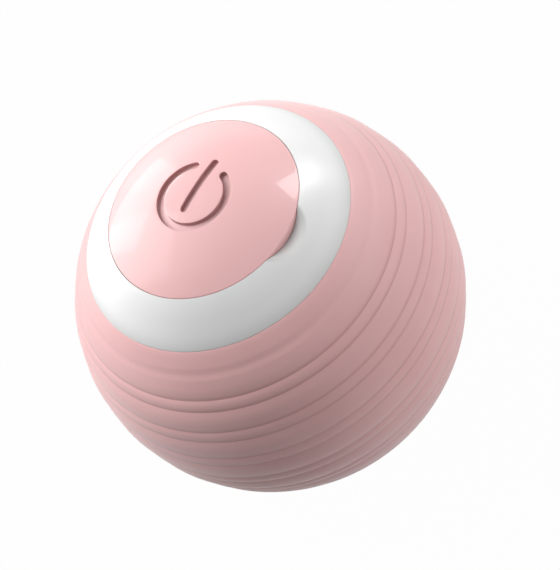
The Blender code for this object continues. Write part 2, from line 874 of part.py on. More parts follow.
for index, angle in enumerate(POST_ANGLES):
    hole_x, hole_y = around(post_reach, angle)
    hole = rod(
        "screw_hole_%d" % (index + 1),
        shank_clear,
        shank_low - SEAT_GAP,
        head_low,
        None,
        hole_x,
        hole_y,
        TINY_STEPS,
    )
    cut(carriage_frame, hole)
    cut(circuit_board, hole)
    cut(port_housing, hole)
    screw("frame_screw_%d" % (index + 1), shank_low, head_low, hole_x, hole_y)

motor_can = revolve(
    "motor_can",
    [
        (MOTOR_SHAFT_RADIUS + SEAT_GAP, motor_low - MOTOR_BOSS_HEIGHT),
        (MOTOR_BOSS_RADIUS, motor_low - MOTOR_BOSS_HEIGHT),
        (MOTOR_BOSS_RADIUS, motor_low),
        (MOTOR_RADIUS, motor_low),
        (MOTOR_RADIUS, motor_high),
        (MOTOR_SHAFT_RADIUS + SEAT_GAP, motor_high),
    ],
    bright_steel,
    SMALL_STEPS,
    motor_x,
    motor_y,
)
motor_cap_radius = MOTOR_RADIUS - MOTOR_CAP_STEP
motor_cap = rod("motor_cap", motor_cap_radius, cap_low, cap_high, black_plastic, motor_x, motor_y)
tab_high = board_high + TAB_PROUD
tab_turn = math.degrees(math.atan2(motor_y, motor_x)) + 90
for index, side in enumerate((-1, 1)):
    step_x, step_y = around(side * (motor_cap_radius - MOTOR_TAB_INSET), tab_turn)
    tab_x, tab_y = motor_x + step_x, motor_y + step_y
    prism(
        "motor_tab_%d" % (index + 1),
        box_outline(TAB_WIDTH, TAB_THICKNESS),
        cap_high + SEAT_GAP,
        tab_high,
        brass,
        tab_x,
        tab_y,
        tab_turn,
    )
    tab_slot = prism(
        "motor_tab_slot_%d" % (index + 1),
        box_outline(TAB_WIDTH + 2 * SEAT_GAP, TAB_THICKNESS + 2 * SEAT_GAP),
        board_low - OVERRUN,
        board_high + OVERRUN,
        None,
        tab_x,
        tab_y,
        tab_turn,
    )
    cut(circuit_board, tab_slot)

battery_cell = prism(
    "battery_cell",
    box_outline(CELL_WIDTH, CELL_DEPTH),
    motor_low,
    cell_high,
    cell_foil,
    0.0,
    -cell_offset,
)
softened = battery_cell.modifiers.new("rounded", "BEVEL")
softened.width = CELL_ROUND
softened.segments = 2
for index, side in enumerate((-1, 1)):
    tab_x = side * (CELL_WIDTH / 2 - CELL_TAB_INSET)
    prism(
        "cell_tab_%d" % (index + 1),
        box_outline(TAB_WIDTH, TAB_THICKNESS),
        cell_high + SEAT_GAP,
        tab_high,
        brass,
        tab_x,
        -(cell_offset + CELL_TAB_STEP),
    )
    tab_slot = prism(
        "cell_tab_slot_%d" % (index + 1),
        box_outline(TAB_WIDTH + 2 * SEAT_GAP, TAB_THICKNESS + 2 * SEAT_GAP),
        board_low - OVERRUN,
        board_high + OVERRUN,
        None,
        tab_x,
        -(cell_offset + CELL_TAB_STEP),
    )
    cut(circuit_board, tab_slot)


def ring_piece(inner, outer, first, last, steps=10):
    points = [around(outer, first + (last - first) * i / steps) for i in range(steps + 1)]
    points += [around(inner, last - (last - first) * i / steps) for i in range(steps + 1)]
    return points


weight_inner = math.hypot(motor_x, motor_y) + cradle_inner + CRADLE_WALL + WEIGHT_CLEARANCE
weight_outer = reach_at(shell_inner, motor_low) - WEIGHT_GAP
steel_weight = prism(
    "steel_weight",
    ring_piece(weight_inner, weight_outer, 90 - WEIGHT_HALF_ANGLE, 90 + WEIGHT_HALF_ANGLE),
    motor_low,
    motor_low + WEIGHT_HEIGHT,
    bright_steel,
)
weight_reach = (weight_inner + weight_outer) / 2
weight_seat = plate_low - SEAT_GAP
weight_tip = weight_seat + WEIGHT_SCREW_LENGTH
weight_hole = rod(
    "weight_hole",
    shank_clear,
    weight_seat,
    weight_tip + SEAT_GAP,
    None,
    0.0,
    weight_reach,
    TINY_STEPS,
)
cut(carriage_frame, weight_hole)
cut(steel_weight, weight_hole)
screw("weight_screw", weight_seat, weight_tip, 0.0, weight_reach, -1)

lower_bush = tube("lower_bush", bush_inner, bush_outer, hub_low, axle_high, brass)
axle_low = -ledge_low - AXLE_SINK
lower_axle = rod("lower_axle", AXLE_RADIUS, axle_low, axle_high, bright_steel)


def involute(angle):
    return math.tan(angle) - angle


def gear_outline(teeth):
    """Involute teeth from the module, thinned for backlash, first tooth on +X."""
    pitch = teeth * GEAR_MODULE / 2
    pressure = math.radians(PRESSURE_ANGLE)
    base = pitch * math.cos(pressure)
    tip = pitch + TIP_SHARE * GEAR_MODULE
    root = pitch - ROOT_SHARE * GEAR_MODULE
    half_pitch = math.pi / (2 * teeth) - GEAR_BACKLASH / (4 * pitch)
    half_base = half_pitch + involute(pressure)
    half_tip = half_base - involute(math.acos(base / tip))
    half_root = half_base * (UNDERCUT_SHARE if root < base else 1)
    points = []
    for tooth in range(teeth):
        centre = 2 * math.pi * tooth / teeth
        for radius, offset in (
            (root, -half_root),
            (pitch, -half_pitch),
            (tip, -half_tip),
            (tip, half_tip),
            (pitch, half_pitch),
            (root, half_root),
        ):
            points.append((radius * math.cos(centre + offset), radius * math.sin(centre + offset)))
    return points


sun_gear = prism("sun_gear", gear_outline(SUN_TEETH), sun_low, sun_high, gear_plastic)
sun_bore = rod("sun_bore", AXLE_RADIUS + SEAT_GAP / 2, sun_low - OVERRUN, sun_high + OVERRUN, None)
cut(sun_gear, sun_bore)

small_pitch = 360 / SMALL_TEETH
compound_gear = prism(
    "compound_gear", gear_outline(BIG_TEETH), big_low, big_high, gear_plastic, compound_reach, 0.0, MOTOR_ANGLE
)
small_gear = prism(
    "small_gear",
    gear_outline(SMALL_TEETH),
    sun_low,
    big_low + BIG_WIDTH / 2,
    None,
    compound_reach,
    0.0,
    180 + small_pitch / 2,
)
gear_hub = rod(
    "gear_hub",
    GEAR_HUB_RADIUS,
    big_high - BIG_WIDTH / 2,
    plate_low - RUNNING_GAP,
    None,
    compound_reach,
)
gear_bore = rod(
    "gear_bore",
    GEAR_PIN_RADIUS + SEAT_GAP,
    sun_low - OVERRUN,
    plate_high,
    None,
    compound_reach,
    0.0,
    TINY_STEPS,
)
join(compound_gear, small_gear, gear_hub)
cut(compound_gear, gear_bore)
gear_pin = rod(
    "gear_pin", GEAR_PIN_RADIUS, sun_low, axle_high, bright_steel, compound_reach, 0.0, TINY_STEPS
)

pinion_turn = MOTOR_ANGLE + 180 + 180 / PINION_TEETH
motor_pinion = prism(
    "motor_pinion", gear_outline(PINION_TEETH), big_low, big_high, brass, motor_x, motor_y, pinion_turn
)
pinion_bore = rod(
    "pinion_bore",
    MOTOR_SHAFT_RADIUS + SEAT_GAP / 2,
    big_low - OVERRUN,
    big_high + OVERRUN,
    None,
    motor_x,
    motor_y,
    TINY_STEPS,
)
cut(motor_pinion, pinion_bore)
motor_shaft = rod(
    "motor_shaft",
    MOTOR_SHAFT_RADIUS,
    big_low,
    (motor_low + motor_high) / 2,
    bright_steel,
    motor_x,
    motor_y,
    TINY_STEPS,
)
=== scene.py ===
# Self rolling cat ball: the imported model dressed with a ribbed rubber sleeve, white poles and a power disc.
import json
import math
import bmesh
import bpy
from mathutils import Matrix, Vector
from mathutils.geometry import delaunay_2d_cdt


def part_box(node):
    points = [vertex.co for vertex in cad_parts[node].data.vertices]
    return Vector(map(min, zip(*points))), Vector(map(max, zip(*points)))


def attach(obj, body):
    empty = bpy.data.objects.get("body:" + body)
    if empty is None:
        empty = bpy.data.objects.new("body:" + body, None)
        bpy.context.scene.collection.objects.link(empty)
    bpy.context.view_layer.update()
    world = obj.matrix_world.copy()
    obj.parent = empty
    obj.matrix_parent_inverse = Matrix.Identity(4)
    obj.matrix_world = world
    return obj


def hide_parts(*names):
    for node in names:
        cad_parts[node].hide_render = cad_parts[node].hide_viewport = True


print("loading the packed model")
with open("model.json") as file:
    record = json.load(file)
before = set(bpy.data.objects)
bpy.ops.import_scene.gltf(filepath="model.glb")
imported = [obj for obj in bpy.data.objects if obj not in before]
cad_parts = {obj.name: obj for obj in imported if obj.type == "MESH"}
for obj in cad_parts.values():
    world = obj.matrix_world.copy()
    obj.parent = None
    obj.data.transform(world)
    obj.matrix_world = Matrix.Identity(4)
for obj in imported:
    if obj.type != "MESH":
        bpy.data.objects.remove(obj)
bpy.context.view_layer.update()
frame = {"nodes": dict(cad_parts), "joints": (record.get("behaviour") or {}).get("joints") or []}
scene = bpy.context.scene
scene.view_settings.view_transform = "Standard"
middle = next(Vector(joint["pos_m"]) for joint in frame["joints"] if joint["name"] == "carriage_spin")


class Wire:   # a socket that can be written into sums
    def __init__(self, patch, socket):
        self.patch, self.socket = patch, socket

    def math(self, operation, *terms):
        return self.patch.node("ShaderNodeMath", {"operation": operation}, dict(enumerate(terms)))

    def __add__(self, other):
        return self.math("ADD", self, other)

    def __radd__(self, other):
        return self.math("ADD", other, self)

    def __sub__(self, other):
        return self.math("SUBTRACT", self, other)

    def __rsub__(self, other):
        return self.math("SUBTRACT", other, self)

    def __mul__(self, other):
        return self.math("MULTIPLY", self, other)

    def __rmul__(self, other):
        return self.math("MULTIPLY", other, self)

    def __truediv__(self, other):
        return self.math("DIVIDE", self, other)

    def __abs__(self):
        return self.math("ABSOLUTE", self)

    def root(self):
        return self.math("SQRT", self)

    def square(self):
        return self * self

    def whole(self):
        return self.math("ROUND", self)

    def atMost(self, other):
        return self.math("MINIMUM", self, other)

    def atLeast(self, other):
        return self.math("MAXIMUM", self, other)

    def step(self, low, high):   # 0 below low, 1 above high, smooth between
        return self.patch.node("ShaderNodeMapRange", {"interpolation_type": "SMOOTHSTEP"},
                               {"Value": self, "From Min": low, "From Max": high})


class Patch:   # a node tree whose nodes all come from one method
    def __init__(self, tree):
        self.tree = tree

    def feed(self, socket, value):
        if isinstance(value, Wire):
            self.tree.links.new(value.socket, socket)
        elif socket.type == "RGBA":
            socket.default_value = (*value[:3], 1.0)
        else:
            socket.default_value = value

    def node(self, kind, settings=None, inputs=None, output=0):
        made = self.tree.nodes.new(kind)
        for key, value in (settings or {}).items():
            setattr(made, key, value)
        for key, value in (inputs or {}).items():
            self.feed(made.inputs[key], value)
        return Wire(self, made.outputs[output])

    def mix(self, share, first, second):
        return self.node("ShaderNodeMix", {"data_type": "RGBA"}, {0: share, 6: first, 7: second}, 2)

    def noise(self, scale, detail, rough=0.5, vector=None):
        vector = vector or self.node("ShaderNodeTexCoord", output="Object")
        return self.node("ShaderNodeTexNoise", {},
                         {"Vector": vector, "Scale": scale, "Detail": detail, "Roughness": rough})

    def bump(self, height, strength, distance):
        return self.node("ShaderNodeBump", {},
                         {"Strength": strength, "Distance": distance, "Height": height})


class Finish(Patch):   # a material; sockets are named with their spaces left out
    def __init__(self, name, **values):
        self.material = bpy.data.materials.new(name)
        self.material.use_nodes = True
        super().__init__(self.material.node_tree)
        self.set(**values)

    def set(self, **values):
        sockets = {socket.name.replace(" ", ""): socket
                   for socket in reversed(self.tree.nodes["Principled BSDF"].inputs)}
        for key, value in values.items():
            self.feed(sockets[key], value)
        return self.material

    def place(self):   # the object coordinates as three numbers
        spot = self.node("ShaderNodeTexCoord", output="Object")
        parts = self.node("ShaderNodeSeparateXYZ", {}, {0: spot}).socket.node.outputs
        return [Wire(self, part) for part in parts]


print("mixing the finishes")
pink = {"tone": (0.92, 0.535, 0.535), "deep": (0.86, 0.47, 0.475)}
white = {"tone": (0.90, 0.905, 0.90), "deep": (0.86, 0.865, 0.86)}


def mouldedPlastic(name, tone, deep, rough, grain=3800.0, coat=0.0, blur=0.07, marked=None):
    look = Finish(name, CoatWeight=coat, CoatRoughness=blur, SpecularIORLevel=0.5)
    fine = look.noise(scale=grain, detail=3.0, rough=0.55)
    cloud = look.noise(scale=90.0, detail=2.0)
    plain = look.mix(cloud.step(0.3, 0.8) * 0.4, tone, deep)
    return look.set(BaseColor=marked(look, plain) if marked else plain,
                    Roughness=rough + (cloud - 0.5) * 0.06 + (fine - 0.5) * 0.04,
                    Normal=look.bump(fine, strength=0.06, distance=0.00003))


ribs = {   # of the sleeve, in degrees from the sign's pole
    "middle": 89.05,
    "spacing": 12.0,
    "eachSide": 2.0,     # narrow ribs on each side of the middle one
    "narrowHalf": 2.05,
}
creaseShade = {   # painted shade in the rubber's colour where two ribs meet, in degrees: soft towards the sign's pole, sharp on the far side
    "soft": 2.0,
    "sharp": 0.2,
    "tone": (0.50, 0.17, 0.17),
    "strength": 0.42,
}


# painted shade: darkens the rubber's colour beside each crease between ribs
def paintedCreaseShade(look):
    x, y, z = look.place()
    reach = (x * x + y * y).root()
    polar = reach.math("ARCTAN2", reach, z - middle.z) * math.degrees(1)
    fromMiddle = polar - ribs["middle"]
    nearest = (fromMiddle / ribs["spacing"]).whole().atMost(ribs["eachSide"]).atLeast(-ribs["eachSide"])
    away = fromMiddle - nearest * ribs["spacing"]

    def shadeAt(crease):
        beyond = away - crease
        return beyond.step(-creaseShade["soft"], 0.0).square() * (1.0 - beyond.step(0.0, creaseShade["sharp"]))

    return shadeAt(-ribs["narrowHalf"]) + shadeAt(ribs["narrowHalf"])


# painted shade on the white skin near the sleeve's edge
rimShade = {
    "from": 39.5,        # degrees from each pole
    "to": 47.6,
    "tone": (0.62, 0.625, 0.62),
    "strength": 0.5,
}


def paintedRimShade(look, plain):   # painted shade: the white skin's colour darkens softly where it dives under the sleeve
    x, y, z = look.place()
    reach = (x * x + y * y).root()
    polar = reach.math("ARCTAN2", reach, abs(z - middle.z)) * math.degrees(1)
    nearRim = polar.step(rimShade["from"], rimShade["to"])
    return look.mix(nearRim.square() * rimShade["strength"], plain, rimShade["tone"])


def softRubber(name, tone, deep, rough):
    look = Finish(name, SpecularIORLevel=0.5, SheenWeight=0.30, SheenRoughness=0.5)
    fine = look.noise(scale=5200.0, detail=4.0, rough=0.6)
    cloud = look.noise(scale=120.0, detail=2.0)
    plain = look.mix(cloud.step(0.35, 0.75) * 0.35, tone, deep)
    # the base colour carries the painted crease shade
    return look.set(BaseColor=look.mix(paintedCreaseShade(look) * creaseShade["strength"], plain, creaseShade["tone"]),
                    Roughness=rough + (cloud - 0.5) * 0.08 + (fine - 0.5) * 0.05,
                    Normal=look.bump(fine, strength=0.1, distance=0.00004))


def turnedMetal(name, tone, rough):
    look = Finish(name, Metallic=1.0)
    along = look.node("ShaderNodeMapping", {}, {"Vector": look.node("ShaderNodeTexCoord", output="Object"),
                                                "Scale": (900.0, 900.0, 9000.0)})
    lines = look.noise(scale=1.0, detail=3.0, rough=0.6, vector=along)
    smudge = look.noise(scale=260.0, detail=2.0)
    return look.set(BaseColor=look.mix(smudge.step(0.4, 0.8) * 0.3, tone, [side * 0.8 for side in tone]),
                    Roughness=rough + (lines - 0.5) * 0.16 + (smudge - 0.5) * 0.1,
                    Normal=look.bump(lines, strength=0.1, distance=0.00002))


def boardLacquer(name):
    look = Finish(name)
    tracks = look.node("ShaderNodeTexBrick", {"offset": 0.5},
                       {"Vector": look.node("ShaderNodeTexCoord", output="Object"), "Scale": 420.0,
                        "Mortar Size": 0.035, "Color1": (0.02, 0.17, 0.07), "Color2": (0.02, 0.2, 0.085),
                        "Mortar": (0.05, 0.32, 0.15)})
    speck = look.noise(scale=2600.0, detail=2.0)
    return look.set(BaseColor=tracks, Roughness=0.32 + (speck - 0.5) * 0.1,
                    Normal=look.bump(speck, strength=0.08, distance=0.00002))


def cellWrap(name):
    look = Finish(name, Metallic=0.7)
    crease = look.noise(scale=700.0, detail=5.0, rough=0.7)
    return look.set(BaseColor=look.mix(crease.step(0.3, 0.7) * 0.5, (0.62, 0.63, 0.66), (0.45, 0.46, 0.49)),
                    Roughness=0.28 + crease * 0.15, Normal=look.bump(crease, strength=0.35, distance=0.00012))


def pinkSkin(name, marked=None):
    return mouldedPlastic(name, **pink, rough=0.42, coat=0.5, marked=marked)


def whiteSkin(name, marked):
    return mouldedPlastic(name, **white, rough=0.40, coat=0.5, blur=0.26, marked=marked)


finishes = {
    "sleeve": softRubber("pinkRubber", **pink, rough=0.46),
    "disc": pinkSkin("pinkPlastic"),
    "shell": whiteSkin("whitePlastic", paintedRimShade),
    "frame": mouldedPlastic("greyPlastic", (0.28, 0.29, 0.30), (0.22, 0.23, 0.24), rough=0.5, grain=2400.0),
    "gear": mouldedPlastic("gearNylon", (0.83, 0.82, 0.76), (0.76, 0.75, 0.68), rough=0.38),
    "black": mouldedPlastic("blackPlastic", (0.018, 0.018, 0.02), (0.03, 0.03, 0.032), rough=0.42, grain=2600.0),
    "steel": turnedMetal("turnedSteel", (0.62, 0.62, 0.63), rough=0.26),
    "brass": turnedMetal("turnedBrass", (0.74, 0.52, 0.22), rough=0.24),
    "board": boardLacquer("boardLacquer"),
    "cell": cellWrap("cellWrap"),
}
carried = {   # CAD nodes that keep their own mesh
    "shell": ["port_housing", "cap_plug", "charge_led"],
    "frame": ["carriage_frame", "switch_button"],
    "gear": ["sun_gear", "compound_gear", "upper_bush"],
    "black": ["switch_case", "control_chip", "usb_tongue", "motor_cap"],
    "steel": ["usb_socket", "frame_screw_1", "frame_screw_2", "frame_screw_3", "motor_can", "steel_weight",
              "weight_screw", "gear_pin", "lower_axle", "motor_shaft", "cap_spring"],
    "brass": ["motor_tab_1", "motor_tab_2", "cell_tab_1", "cell_tab_2", "lower_bush", "motor_pinion"],
    "board": ["circuit_board"],
    "cell": ["battery_cell"],
}
for key, names in carried.items():
    for name in names:
        mesh = frame["nodes"][name].data
        mesh.materials.clear()
        mesh.materials.append(finishes[key])


def onSphere(radius, polar):
    return radius * math.sin(math.radians(polar)), radius * math.cos(math.radians(polar))


def arc(radius, first, last, count):
    return [onSphere(radius, first + (last - first) * i / count) for i in range(count + 1)]


def polarOf(radius, reach):
    return math.degrees(math.asin(reach / radius))


def heightAt(radius, reach):
    return math.sqrt(radius ** 2 - reach ** 2)


def newPiece(name, shape):
    mesh = bpy.data.meshes.new(name)
    shape.to_mesh(mesh)
    shape.free()
    piece = bpy.data.objects.new(name, mesh)
    scene.collection.objects.link(piece)
    return piece


def dress(piece, finish, body, slot, *nodes):
    shape = bmesh.new()
    shape.from_mesh(piece.data)
    bmesh.ops.remove_doubles(shape, verts=shape.verts, dist=1e-6)
    bmesh.ops.recalc_face_normals(shape, faces=shape.faces)
    openEdges = sum(1 for edge in shape.edges if not edge.is_manifold)
    shape.to_mesh(piece.data)
    shape.free()
    for face in piece.data.polygons:
        face.use_smooth = True
    piece.data.materials.clear()
    piece.data.materials.append(finishes[finish])
    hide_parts(*nodes)
    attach(piece, body)
    print("  ", piece.name, len(piece.data.polygons), "faces,", openEdges, "open edges")


def ringOf(shape, reach, height, steps, lift=None):   # one vertex where the reach is nothing
    if reach == 0:
        return [shape.verts.new((0, 0, height + middle.z))]
    ring = []
    for step in range(steps):
        turn = 2 * math.pi * step / steps
        x, y = reach * math.cos(turn), reach * math.sin(turn)
        ring.append(shape.verts.new((x, y, (lift(x, y, height) if lift else height) + middle.z)))
    return ring


def skin(shape, rings, closed=False):
    for first, second in zip(rings, rings[1:] + rings[:1] if closed else rings[1:]):
        steps = max(len(first), len(second))
        for step in range(steps):
            corners = []
            for ring, place in ((first, step), (first, step + 1), (second, step + 1), (second, step)):
                corner = ring[place % len(ring)]
                if corner not in corners:
                    corners.append(corner)
            shape.faces.new(corners)


def rounded(corner, before, after, radius, count=4):   # points of a profile that soften one corner
    corner = Vector(corner)
    start = corner + (Vector(before) - corner).normalized() * radius
    stop = corner + (Vector(after) - corner).normalized() * radius
    shares = [i / count for i in range(count + 1)]
    return [tuple(start * (1 - share) ** 2 + corner * 2 * share * (1 - share) + stop * share ** 2)
            for share in shares]


print("shaping the sleeve")
sleeveSizes = {
    "Ball Radius": 0.0215,
    "Inner Radius": 0.01975,
    "Middle Height": middle.z,
    "Edge Angle": 47.1,         # degrees from the pole, as every angle here
    "Edge Round": 0.00005,
    "Edge Width": 2.0,
    "Rib Middle": ribs["middle"],
    "Rib Spacing": ribs["spacing"],
    "Ribs Each Side": ribs["eachSide"],
    "Narrow Half Angle": ribs["narrowHalf"],
    "Narrow Drop": 0.00006,
    "Crease Depth": 0.00018,
    "Shoulder Angle": 54.3,
    "Shoulder Half Angle": 2.2,
    "Shoulder Dip": 0.00006,
    "Rows": 600,
    "Inner Rows": 25,
    "End Rows": 3,
    "Steps": 128,
    "Merge Distance": 0.000002,
    "Material": finishes["sleeve"],
}


class Shaper(Patch):   # a Geometry Nodes tree with named inputs
    def __init__(self, name, sizes):
        super().__init__(bpy.data.node_groups.new(name, "GeometryNodeTree"))
        self.sizes = sizes
        kinds = {float: "NodeSocketFloat", int: "NodeSocketInt", bpy.types.Material: "NodeSocketMaterial"}
        for label, value in sizes.items():
            self.tree.interface.new_socket(label, in_out="INPUT", socket_type=kinds[type(value)])
        self.tree.interface.new_socket("Geometry", in_out="OUTPUT", socket_type="NodeSocketGeometry")
        self.given = self.tree.nodes.new("NodeGroupInput")
        self.result = self.tree.nodes.new("NodeGroupOutput")

    def size(self, label):
        return Wire(self, self.given.outputs[label])

    def join(self, *parts):
        made = self.tree.nodes.new("GeometryNodeJoinGeometry")
        for part in parts:
            self.tree.links.new(part.socket, made.inputs[0])
        return Wire(self, made.outputs[0])

    def build(self, geometry):   # the evaluated tree as a plain mesh object
        real = self.node("GeometryNodeRealizeInstances", {}, {"Geometry": geometry})
        painted = self.node("GeometryNodeSetMaterial", {}, {"Geometry": real, "Material": self.size("Material")})
        self.tree.links.new(painted.socket, self.result.inputs[0])
        carrier = newPiece(self.tree.name + "Carrier", bmesh.new())
        grown = carrier.modifiers.new("grown", "NODES")
        grown.node_group = self.tree
        for item in self.tree.interface.items_tree:
            if item.in_out == "INPUT":
                grown[item.identifier] = self.sizes[item.name]
        evaluated = carrier.evaluated_get(bpy.context.evaluated_depsgraph_get())
        mesh = bpy.data.meshes.new_from_object(evaluated)
        bpy.data.objects.remove(carrier)
        piece = bpy.data.objects.new(self.tree.name, mesh)
        scene.collection.objects.link(piece)
        return piece


def groovedSleeve():
    tree = Shaper("groovedSleeve", sleeveSizes)
    size = tree.size
    place = tree.node("GeometryNodeInputPosition")
    apart = tree.node("ShaderNodeSeparateXYZ", {}, {0: place}).socket.node.outputs
    along, turn = Wire(tree, apart[0]) + 0.5, (Wire(tree, apart[1]) + 0.5) * (2 * math.pi)

    def depthAt(polar):   # wide and narrow ribs by turns, each crowned, meeting in a crease
        fromEquator = abs(90.0 - polar)
        fromMiddle = abs(polar - size("Rib Middle"))
        nearest = (fromMiddle / size("Rib Spacing")).whole().atMost(size("Ribs Each Side"))
        away = abs(fromMiddle - nearest * size("Rib Spacing"))
        middleOfWide = size("Rib Spacing") / 2
        toCrease = (middleOfWide - away) / (middleOfWide - size("Narrow Half Angle"))
        wide = toCrease.atLeast(0.0).atMost(1.0).square() * size("Crease Depth")
        inNarrow = (away / size("Narrow Half Angle")).atMost(1.0).square()
        narrow = size("Narrow Drop") + inNarrow * (size("Crease Depth") - size("Narrow Drop"))
        isNarrow = away.math("LESS_THAN", away, size("Narrow Half Angle"))
        beside = abs(fromEquator - (90.0 - size("Shoulder Angle"))) / size("Shoulder Half Angle")
        dip = (1.0 - beside.step(0.0, 1.0)) * size("Shoulder Dip")
        toRim = 1.0 - ((90.0 - size("Edge Angle") - fromEquator) / size("Edge Width")).atLeast(0.0).atMost(1.0)
        return isNarrow * narrow + (1.0 - isNarrow) * wide + dip + toRim.square() * size("Edge Round")

    def sheet(rows, polar, radius):
        grid = tree.node("GeometryNodeMeshGrid", {},
                         {"Size X": 1.0, "Size Y": 1.0, "Vertices X": rows, "Vertices Y": size("Steps") + 1})
        slant = polar * math.radians(1)
        reach = radius * slant.math("SINE", slant)
        spot = tree.node("ShaderNodeCombineXYZ", {},
                         {0: reach * turn.math("COSINE", turn), 1: reach * turn.math("SINE", turn),
                          2: radius * slant.math("COSINE", slant) + size("Middle Height")})
        return tree.node("GeometryNodeSetPosition", {}, {"Geometry": grid, "Position": spot})

    polar = size("Edge Angle") + along * (180.0 - 2 * size("Edge Angle"))
    outer = sheet(size("Rows"), polar, size("Ball Radius") - depthAt(polar))
    inner = sheet(size("Inner Rows"), polar, size("Inner Radius"))
    rim = size("Ball Radius") - size("Edge Round") - size("Inner Radius")
    ends = [sheet(size("End Rows"), start, size("Inner Radius") + along * rim)
            for start in (size("Edge Angle"), 180.0 - size("Edge Angle"))]
    merged = tree.node("GeometryNodeMergeByDistance", {},
                       {"Geometry": tree.join(outer, inner, *ends), "Distance": size("Merge Distance")})
    return tree.build(merged)


dress(groovedSleeve(), "sleeve", "shell", "pink_sleeve", "tread_sleeve")

print("turning the poles")
discBox, shellBox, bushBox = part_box("power_disc"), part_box("upper_shell"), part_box("upper_bush")
disc = {
    "wider": 0.00004,    # than the solid's
    "dome": discBox[1][2] - middle.z,
    "proud": 0.00019,    # how far the edge stands above the ball-shaped dome
    "wall": 0.0014,
    "rimDepth": 0.0009,
    "rimWidth": 0.00135,
    "edge": 0.00004,
    "stem": 0.0015,
    "seatGap": 0.00015,
    "restFlat": 0.0045,
    "rows": 44,
    "lowRows": 24,
    "insideRows": 8,
    "insideEnd": 4,      # degrees from the pole, where the dome's inner side turns flat
    "steps": 192,
}
disc["radius"] = discBox[1][0] + disc["wider"]
disc["rimHigh"] = heightAt(disc["dome"], disc["radius"]) + disc["proud"]
disc["fall"] = disc["dome"] - disc["rimHigh"]
disc["curve"] = (disc["radius"] ** 2 + disc["fall"] ** 2) / (2 * disc["fall"])
disc["rimLow"] = disc["rimHigh"] - disc["rimDepth"]
disc["inside"] = disc["dome"] - disc["wall"]
disc["rimInner"] = disc["radius"] - disc["rimWidth"]
shell = {
    "radius": sleeveSizes["Ball Radius"],
    "seat": shellBox[1][0],
    "wall": 0.0014,
    "ledge": 0.0015,
    "wellGap": 0.00006,  # round the disc
    "wellDepth": 0.00195,
    "window": bushBox[1][0] + disc["seatGap"],
    "edgeAngle": 47.02,  # degrees from the pole
    "edge": 0.00007,     # how far the shoulder drops at the sleeve
    "shoulder": 4.2,     # degrees
    "shoulderPower": 2.5,
    "seatEnd": 89,       # degrees from the pole, under the sleeve
    "raise": 0.00035,    # how far the skin stands off the ball beside the disc
    "lip": 0.00003,
    "lap": 0.0016,
    "split": 0.0001,
    "steps": 384,
    "rows": 64,
    "seatRows": 10,
    "insideRows": 12,
}
shell["well"] = disc["radius"] + shell["wellGap"]
shell["floor"] = disc["rimLow"] - shell["wellDepth"]
shell["under"] = shell["floor"] - shell["ledge"]
shell["inside"] = shell["seat"] - shell["wall"]
shell["lapMiddle"] = (shell["seat"] + shell["inside"]) / 2
shell["ledgeAngle"] = math.degrees(math.acos(shell["under"] / shell["inside"]))
shell["firstAngle"] = polarOf(shell["radius"] + shell["raise"], shell["well"])
scoop = {
    "radius": 0.0095,
    "depth": 0.0007,
    "inset": 0.0016,     # from the disc's edge in to the bowl's middle
    "azimuth": 2.3,
    "soft": 0.00022,
    "shadedTo": 0.0136,  # reach where the painted shade ends
    # colour and share of the painted shade in the hollow
    "tone": (0.40, 0.40, 0.39),
    "strength": 0.64,
}
scoopPolar = polarOf(shell["radius"], disc["radius"] - scoop["inset"])
scoopReach, scoopZ = onSphere(shell["radius"] + scoop["radius"] - scoop["depth"], scoopPolar)
scoopX = scoopReach * math.cos(math.radians(scoop["azimuth"]))
scoopY = scoopReach * math.sin(math.radians(scoop["azimuth"]))


def paintedScoopShade(look, plain):   # painted shade: the hollow's colour darkens towards the disc
    x, y, z = look.place()
    away = (x - scoopX).square() + (y - scoopY).square() + (z - middle.z - scoopZ).square()
    hollow = 1.0 - (away.root() - scoop["radius"]).step(0.0, scoop["soft"])
    besideDisc = 1.0 - (x * x + y * y).root().step(disc["radius"], scoop["shadedTo"])
    return look.mix(hollow * besideDisc * scoop["strength"], paintedRimShade(look, plain), scoop["tone"])


def scooped(x, y, height):   # the ring's skin with the finger scoop let into it, with a soft brim
    spread = scoop["radius"] ** 2 - (x - scoopX) ** 2 - (y - scoopY) ** 2
    if spread <= 0:
        return height
    bowl = scoopZ - math.sqrt(spread)
    reach = max(scoop["soft"] - abs(height - bowl), 0) / scoop["soft"]
    return min(height, bowl) - reach * reach * scoop["soft"] / 4


def crownPoint(polar):   # on the white skin: proud beside the disc, easing down to the sleeve
    rise = (shell["edgeAngle"] - polar) / (shell["edgeAngle"] - shell["firstAngle"])
    fall = max(1 - (shell["edgeAngle"] - polar) / shell["shoulder"], 0)
    proud = shell["raise"] * rise * rise * (3 - 2 * rise) - shell["edge"] * fall ** shell["shoulderPower"]
    return onSphere(shell["radius"] + proud, polar)


def poleProfile():   # from the well's floor round the outside to the sleeve's seat
    span = shell["edgeAngle"] - shell["firstAngle"]
    crown = [crownPoint(shell["firstAngle"] + span * i / shell["rows"]) for i in range(shell["rows"] + 1)]
    points = [(shell["window"], shell["floor"]), (shell["well"], shell["floor"])]
    points += rounded(crown[0], points[-1], crown[1], shell["lip"]) + crown[1:]
    return points + arc(shell["seat"], shell["edgeAngle"], shell["seatEnd"], shell["seatRows"])


def poleInside():   # back up the inside, from the split to the window
    lap = shell["lapMiddle"] - disc["seatGap"] / 2
    points = [(shell["seat"], shell["split"]), (lap, shell["split"])]
    points += [(lap, -shell["lap"]), (shell["inside"], -shell["lap"])]
    points += arc(shell["inside"], 90, shell["ledgeAngle"], shell["insideRows"])
    return points + [(shell["window"], shell["under"])]


ringShape = bmesh.new()
skin(ringShape, [ringOf(ringShape, reach, height, shell["steps"], scooped)
                 for reach, height in poleProfile() + poleInside()], closed=True)
finishes["ring"] = whiteSkin("scoopedPlastic", paintedScoopShade)
dress(newPiece("upperPole", ringShape), "ring", "shell", "white_shell", "upper_shell")


